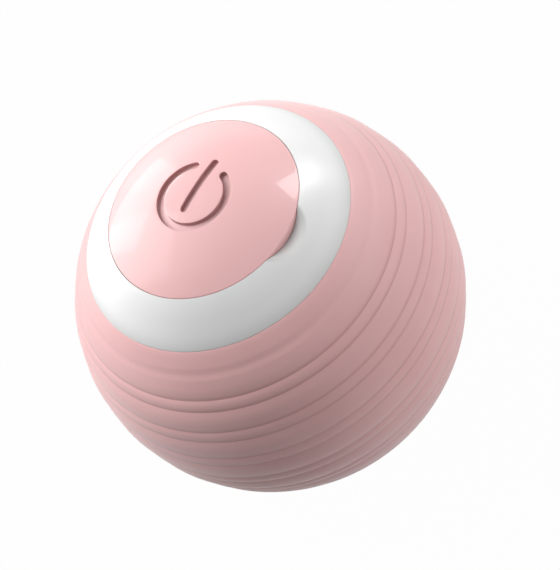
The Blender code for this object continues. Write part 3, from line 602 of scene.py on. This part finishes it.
boss = {   # round the lower axle, inside the lower half
    "radius": 0.003,
    "height": 0.00115,
    "hole": 0.001575,
    "holeDepth": 0.00095,
}


def lowerProfile():
    lap = shell["lapMiddle"] + disc["seatGap"] / 2
    pocket = shell["lap"] + 2 * shell["split"]
    points = [(0, -shell["floor"])] + [(reach, -height) for reach, height in poleProfile()[1:]]
    points += [(shell["seat"], -shell["split"]), (lap, -shell["split"]), (lap, -pocket)]
    points += arc(shell["inside"], 90 + math.degrees(math.asin(pocket / shell["inside"])),
                  180 - shell["ledgeAngle"], shell["insideRows"])
    top, bottom = boss["height"] - shell["under"], -shell["under"] - boss["holeDepth"]
    points += [(boss["radius"], -shell["under"]), (boss["radius"], top), (boss["hole"], top)]
    return points + [(boss["hole"], bottom), (0, bottom)]


lowShape = bmesh.new()
skin(lowShape, [ringOf(lowShape, reach, height, disc["steps"]) for reach, height in lowerProfile()])
dress(newPiece("lowerPole", lowShape), "shell", "shell", "white_shell", "lower_shell")


def domeHeight(reach, drop=0):
    return heightAt(disc["curve"] - drop, reach) + disc["dome"] - disc["curve"]


def rimProfile():   # from the dome's last point round its edge to the foot of the rim
    last = disc["radius"] - disc["edge"]
    foot = (disc["radius"], disc["rimLow"])
    return rounded((disc["radius"], disc["rimHigh"]), (last, domeHeight(last)), foot, disc["edge"]) + [foot]


def lowDiscProfile():
    first, last, rows = disc["restFlat"], disc["radius"] - disc["edge"], disc["lowRows"]
    reaches = [first + (last - first) * i / rows for i in range(rows)]
    points = [(reach, domeHeight(reach)) for reach in [0, *reaches]]
    points[0] = (0, domeHeight(first))
    seat = shell["floor"] + disc["seatGap"]
    points += rimProfile()[:-1] + [(disc["radius"], seat), (disc["rimInner"], seat)]
    points += arc(disc["inside"], polarOf(disc["inside"], disc["rimInner"]), disc["insideEnd"],
                  disc["insideRows"])
    return [(reach, -height) for reach, height in points + [(0, disc["inside"])]]


discShape = bmesh.new()
skin(discShape, [ringOf(discShape, reach, height, disc["steps"]) for reach, height in lowDiscProfile()])
dress(newPiece("lowerDisc", discShape), "disc", "shell", "pink_disc", "lower_disc")

print("cutting the power sign")
sign = {
    "radius": 0.00395,
    "width": 0.00093,
    "gap": 29.8,         # degrees each side of the bar
    "barTop": 0.00496,
    "barLow": 0.0018,
    "aside": (-0.00013, 0.00007),   # how far the whole sign sits from the pole
    # painted shade colours: darker walls and a darker, greyer floor inside the sign's groove
    "wallTone": (0.33, 0.17, 0.17),
    "floorTone": (0.80, 0.50, 0.50),
    "spread": 0.0001,    # between points along the outline
    "endSteps": 14,
    "clear": 0.0002,     # from the outline to the dome's own points
    "scale": 1000,       # millimetres suit the triangulation
    "tolerance": 0.00001,
    "walls": ((0.00004, 0.0), (0.00001, 0.000006), (0.0, 0.00003), (-0.000005, 0.0001),
              (-0.00001, 0.0005), (-0.00003, 0.00056), (-0.00008, 0.00058)),   # offset and drop of each row
    "wallShade": (0.00001, 0.00008),   # drops between which the wall's painted shade comes in
    "floorShade": (0.0005, 0.00057),
    "wallStrength": 0.65,
    "shadeEnd": (0.0058, 0.006),       # reaches between which both painted shades end
}


def thickArc(half):   # the open ring of the sign as a closed outline
    start, stop = math.radians(90 + sign["gap"]), math.radians(450 - sign["gap"])
    count = int((stop - start) * sign["radius"] / sign["spread"])
    points = [(sign["radius"] + half, start + (stop - start) * i / count) for i in range(count + 1)]
    outline = [(reach * math.cos(turn), reach * math.sin(turn)) for reach, turn in points]
    outline += endOfArc(stop, half, stop)
    points = [(sign["radius"] - half, stop - (stop - start) * i / count) for i in range(count + 1)]
    outline += [(reach * math.cos(turn), reach * math.sin(turn)) for reach, turn in points]
    return outline + endOfArc(start, half, start + math.pi)


def endOfArc(turn, half, first):
    return roundEnd(sign["radius"] * math.cos(turn), sign["radius"] * math.sin(turn), half, first)


def roundEnd(x, y, half, first):   # the half circle between two sides of an outline, without its ends
    swings = [first + math.pi * i / sign["endSteps"] for i in range(1, sign["endSteps"])]
    return [(x + half * math.cos(swing), y + half * math.sin(swing)) for swing in swings]


def thickBar(half):
    top, low = sign["barTop"] - sign["width"] / 2, -sign["barLow"]
    count = int((top - low) / sign["spread"])
    outline = [(half, low + (top - low) * i / count) for i in range(count + 1)] + roundEnd(0, top, half, 0)
    outline += [(-half, top - (top - low) * i / count) for i in range(count + 1)]
    return outline + roundEnd(0, low, half, math.pi)


def fromSign(x, y):   # distance to the sign's outline, positive outside it
    turn, reach = math.degrees(math.atan2(y, x)), math.hypot(x, y)
    if abs((turn - 90 + 180) % 360 - 180) > sign["gap"]:
        ring = abs(reach - sign["radius"])
    else:
        ring = min(math.hypot(x - side * sign["radius"] * math.sin(math.radians(sign["gap"])),
                              y - sign["radius"] * math.cos(math.radians(sign["gap"]))) for side in (-1, 1))
    top, low = sign["barTop"] - sign["width"] / 2, -sign["barLow"]
    bar = math.hypot(x, y - min(max(y, low), top))
    return min(ring, bar) - sign["width"] / 2


def signedDome(shape):   # the dome with the sign let into it, as far as its last ring
    spots, edges, heights = [], [], []

    def add(x, y, drop):
        spots.append(Vector((x * sign["scale"], y * sign["scale"])))
        heights.append(domeHeight(math.hypot(x, y), drop))

    offX, offY = sign["aside"]
    for offset, drop in sign["walls"]:
        for outline in (thickArc(sign["width"] / 2 + offset), thickBar(sign["width"] / 2 + offset)):
            first = len(spots)
            for x, y in outline:
                add(x + offX, y + offY, drop)
            edges += [(first + i, first + (i + 1) % len(outline)) for i in range(len(outline))]
    last, lastRow = disc["radius"] - disc["edge"], disc["rows"] - 1
    for row in range(disc["rows"]):
        reach = last * (row + 1) / disc["rows"]
        count = disc["steps"] if row > disc["rows"] / 2 else disc["steps"] // 2
        shift = 0.5 if row % 2 and row < lastRow else 0   # every other row is turned half a step
        if row == lastRow:
            rim = len(spots)
        for step in range(count):
            turn = 2 * math.pi * (step + shift) / count
            x, y = reach * math.cos(turn), reach * math.sin(turn)
            if fromSign(x - offX, y - offY) > sign["clear"]:
                add(x, y, 0)
    flat, _, faces, origins, _, _ = delaunay_2d_cdt(spots, edges, [], 0, sign["tolerance"])
    made = [shape.verts.new((spot.x / sign["scale"], spot.y / sign["scale"], heights[origin[0]] + middle.z))
            for spot, origin in zip(flat, origins)]
    for corners in faces:
        shape.faces.new([made[corner] for corner in corners])
    placed = {origin[0]: vertex for vertex, origin in zip(made, origins)}
    return [placed[rim + step] for step in range(disc["steps"])]


def paintedSignShade(look, plain):   # painted shade on the sign's walls and floor, told by their drop below the dome
    x, y, z = look.place()
    bowl = (disc["curve"] ** 2 - x * x - y * y).root() + (disc["dome"] - disc["curve"] + middle.z)
    drop = (bowl - z) * (1.0 - (x * x + y * y).step(*(end ** 2 for end in sign["shadeEnd"])))
    onFloor = drop.step(*sign["floorShade"])
    onWall = drop.step(*sign["wallShade"]) * (1.0 - onFloor)
    return look.mix(onWall * sign["wallStrength"], look.mix(onFloor, plain, sign["floorTone"]), sign["wallTone"])


def underProfile():   # from the dome's edge round the rim and up the inside to the stem's foot
    first, last = (polarOf(disc["inside"], disc[side]) for side in ("rimInner", "stem"))
    points = rimProfile()[1:] + [(disc["rimInner"], disc["rimLow"])]
    points += arc(disc["inside"], first, last, disc["insideRows"])
    stemFoot = discBox[0][2] - middle.z
    return points + [(disc["stem"], stemFoot), (0, stemFoot)]


powerShape = bmesh.new()
rings = [signedDome(powerShape)]
rings += [ringOf(powerShape, reach, height, disc["steps"]) for reach, height in underProfile()]
skin(powerShape, rings)
finishes["sign"] = pinkSkin("signedPlastic", paintedSignShade)
dress(newPiece("powerDisc", powerShape), "sign", "power", "pink_disc", "power_disc")

print("setting the stage")
floor = {"side": 1.6, "tone": (0.22, 0.22, 0.22), "shown": 0.985}


def seenBy(patch):   # 1 for the rays that show a thing, 0 for those that light another
    rays = patch.tree.nodes.new("ShaderNodeLightPath").outputs
    camera, glossy = Wire(patch, rays["Is Camera Ray"]), Wire(patch, rays["Is Glossy Ray"])
    return camera.atLeast(glossy).atLeast(Wire(patch, rays["Is Transmission Ray"]))


def stageFinish():
    look = Finish("paleFloor", BaseColor=floor["tone"], Roughness=0.7)
    glow = look.node("ShaderNodeEmission", {}, {"Color": (1.0, 1.0, 1.0), "Strength": 1.0})
    shader = Wire(look, look.tree.nodes["Principled BSDF"].outputs[0])
    shown = look.node("ShaderNodeMixShader", {}, {0: seenBy(look) * floor["shown"], 1: shader, 2: glow})
    look.tree.links.new(shown.socket, look.tree.nodes["Material Output"].inputs["Surface"])
    return look.material


floorShape = bmesh.new()
half = floor["side"] / 2
floorCorners = (-half, -half, 0), (half, -half, 0), (half, half, 0), (-half, half, 0)
floorShape.faces.new([floorShape.verts.new(corner) for corner in floorCorners])
stage = newPiece("floor", floorShape)
stage.data.materials.append(stageFinish())

world = bpy.data.worlds.new("studio")
world.use_nodes = True
scene.world = world
sky = Patch(world.node_tree)
room = {"tone": (1.0, 1.0, 1.0), "level": 0.02}
sky.feed(sky.tree.nodes["Background"].inputs["Color"], room["tone"])
sky.feed(sky.tree.nodes["Background"].inputs["Strength"], seenBy(sky) * (1.0 - room["level"]) + room["level"])

lampDistance = 0.5
lamps = {   # degrees round and up from the ball, sides in metres, watts, lights matt skins, shows in gloss
    "key": (190.0, 66.0, (0.40, 0.26), 1.62, True, False),
    "tall": (195.0, 30.0, (0.30, 0.50), 0.95, True, True),
    "left": (215.0, 40.0, (0.22, 0.40), 0.42, True, False),
    "wash": (172.0, 22.0, (0.32, 0.24), 0.70, True, True),
    "back": (135.0, 10.0, (0.60, 0.20), 0.27, True, True),
    "low": (40.0, 10.0, (0.36, 0.18), 1.05, True, False),
    "front": (0.0, 6.0, (0.34, 0.14), 0.37, True, False),
    "side": (95.0, 6.0, (0.34, 0.14), 0.60, True, False),
    "strip": (82.0, 33.0, (0.12, 0.31), 1.00, False, True),
}
for name, (azimuth, elevation, sides, power, lights, shows) in lamps.items():
    light = bpy.data.lights.new(name, "AREA")
    light.shape = "RECTANGLE"
    light.size, light.size_y = sides
    light.energy = power
    turn, rise = math.radians(azimuth), math.radians(elevation)
    towards = Vector((math.cos(rise) * math.cos(turn), math.cos(rise) * math.sin(turn), math.sin(rise)))
    made = bpy.data.objects.new(name, light)
    made.location = middle + towards * lampDistance
    made.visible_diffuse, made.visible_glossy = lights, shows
    made.rotation_euler = towards.to_track_quat("Z", "Y").to_euler()
    scene.collection.objects.link(made)

print("placing the camera")
lens = {
    "azimuth": 63.6,        # of the camera's own level line, degrees
    "elevation": 50.2,
    "roll": 37.6,
    "distance": 2.4,
    "pixelsPerMetre": 9120.0,   # at the ball's middle, in the photograph's 560 by 570
    "ballPixel": (270.56, 296.12),
    "frame": (560, 570),
    "sensor": 36.0,             # millimetres
    "clipStart": 0.01,
}
turn, rise, roll = (math.radians(lens[key]) for key in ("azimuth", "elevation", "roll"))
back = Vector((math.sin(turn) * math.cos(rise), -math.cos(turn) * math.cos(rise), math.sin(rise)))
level = Vector((math.cos(turn), math.sin(turn), 0))
upright = back.cross(level)
right = math.cos(roll) * level - math.sin(roll) * upright
up = math.sin(roll) * level + math.cos(roll) * upright
camera = bpy.data.cameras.new("camera")
camera.sensor_width = lens["sensor"]
camera.lens = lens["sensor"] * lens["distance"] * lens["pixelsPerMetre"] / max(lens["frame"])
camera.clip_start = lens["clipStart"]
aside = (lens["frame"][0] / 2 - lens["ballPixel"][0]) / lens["pixelsPerMetre"]
above = (lens["ballPixel"][1] - lens["frame"][1] / 2) / lens["pixelsPerMetre"]
made = bpy.data.objects.new("camera", camera)
made.matrix_world = Matrix((
    (right.x, up.x, back.x, 0), (right.y, up.y, back.y, 0), (right.z, up.z, back.z, 0), (0, 0, 0, 1)))
made.location = middle + back * lens["distance"] + right * aside + up * above
scene.collection.objects.link(made)
scene.camera = made
